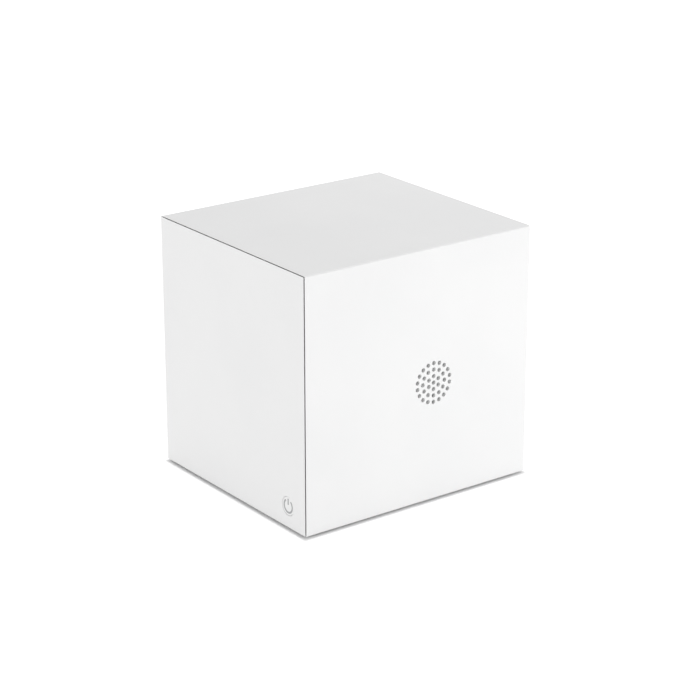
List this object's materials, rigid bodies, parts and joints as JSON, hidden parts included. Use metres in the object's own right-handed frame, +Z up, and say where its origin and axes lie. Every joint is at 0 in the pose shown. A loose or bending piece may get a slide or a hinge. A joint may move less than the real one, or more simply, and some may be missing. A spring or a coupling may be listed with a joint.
{
  "type": "smart speaker",
  "caption": "Cube-shaped white smart speaker with a small round perforated sound outlet, a flush power button, mitred side panels, rear grille, controls and low feet.",
  "frame": {"origin": "on the surface that the feet stand on, under the middle of the casing", "axes": "+X to the right of the front, +Y from the front (with the round sound outlet) to the back, +Z up"},
  "size_m": [0.104, 0.093, 0.1],
  "materials": {
    "white_shell": "fine satin moulded finish",
    "white_button": "satin moulded finish",
    "symbol_grey": "printed grey",
    "foot_rubber": "soft matt",
    "steel": "zinc plated",
    "tray_plastic": "fine grain",
    "label_film": "satin film",
    "grey_mesh": "woven",
    "dark_mesh": "woven",
    "foam": "closed-cell foam",
    "box_plastic": "fine grain",
    "board": "solder mask",
    "switch_black": "moulded",
    "chip_black": "moulded",
    "pulp": "pressed pulp",
    "surround_rubber": "moulded",
    "coil_copper": "enamelled copper wire",
    "former_film": "film",
    "spider_cloth": "treated cloth",
    "magnet": "ferrite",
    "brass": "plated",
    "basket_steel": "black paint",
    "can_steel": "tinned",
    "capacitor": "bare",
    "connector": "moulded",
    "antenna_film": "polyimide film",
    "wire": "insulation",
    "slider_grey": "moulded",
    "cell_foil": "laminated foil",
    "bracket_metal": "anodised",
    "wadding": "felted",
    "mic_can": "gold plated"
  },
  "bodies": {
    "casing": {"casing_sleeve": "white_shell", "left_side_panel": "white_shell", "right_side_panel": "white_shell", "foot_front_left": "foot_rubber", "foot_front_right": "foot_rubber", "foot_back_left": "foot_rubber", "foot_back_right": "foot_rubber", "casing_screws": "steel", "base_tray": "tray_plastic", "bottom_label": "label_film", "outlet_mesh": "grey_mesh", "waveguide_gasket": "foam", "outlet_waveguide": "box_plastic", "power_switch": "switch_black", "button_board": "board", "acoustic_box_front": "box_plastic", "acoustic_box_rear": "box_plastic", "box_gasket": "foam", "box_screws": "steel", "leg_screws": "steel", "damping_pad": "wadding", "wire_grommet": "surround_rubber", "driver_basket": "basket_steel", "driver_gasket": "foam", "driver_surround": "surround_rubber", "driver_spider": "spider_cloth", "driver_top_plate": "steel", "driver_magnet": "magnet", "driver_yoke": "steel", "driver_terminals": "brass", "driver_screws": "steel", "radiator_frame": "basket_steel", "radiator_surround": "surround_rubber", "rear_mesh": "dark_mesh", "main_board": "board", "board_screws": "steel", "shield_cans": "can_steel", "board_chips": "chip_black", "board_capacitors": "capacitor", "board_connectors": "connector", "charging_socket": "steel", "antenna": "antenna_film", "internal_wires": "wire", "rear_switches": "switch_black", "mic_board": "board", "microphones": "mic_can", "mic_gaskets": "foam", "battery_pack": "cell_foil", "battery_bracket": "bracket_metal"},
    "power_button": {"power_button": "white_button", "power_symbol": "symbol_grey"},
    "volume_up_button": {"volume_up_button": "white_button"},
    "volume_down_button": {"volume_down_button": "white_button"},
    "mic_mute_slider": {"mic_mute_slider": "slider_grey"},
    "driver_cone": {"driver_cone": "pulp", "driver_dust_cap": "pulp", "voice_coil_former": "former_film", "voice_coil": "coil_copper"},
    "radiator_piston": {"radiator_diaphragm": "pulp", "radiator_weight": "steel"}
  },
  "joints": [
    {"name": "power_press", "type": "slide", "parent": "casing", "child": "power_button", "axis": [1, 0, 0], "range_m": [0, 0.0004], "stiffness_N_per_m": 2500},
    {"name": "volume_up_press", "type": "slide", "parent": "casing", "child": "volume_up_button", "axis": [0, -1, 0], "range_m": [0, 0.0004], "stiffness_N_per_m": 2500},
    {"name": "volume_down_press", "type": "slide", "parent": "casing", "child": "volume_down_button", "axis": [0, -1, 0], "range_m": [0, 0.0004], "stiffness_N_per_m": 2500},
    {"name": "mic_mute_slide", "type": "slide", "parent": "casing", "child": "mic_mute_slider", "axis": [0, 0, 1], "range_m": [0, 0.002]},
    {"name": "cone_excursion", "type": "slide", "parent": "casing", "child": "driver_cone", "axis": [0, -1, 0], "range_m": [-0.002, 0.002], "stiffness_N_per_m": 1500, "deforming": ["driver_surround", "driver_spider"]},
    {"name": "radiator_excursion", "type": "slide", "parent": "casing", "child": "radiator_piston", "axis": [0, 1, 0], "range_m": [-0.0025, 0.0025], "stiffness_N_per_m": 900, "deforming": ["radiator_surround"]}
  ]
}
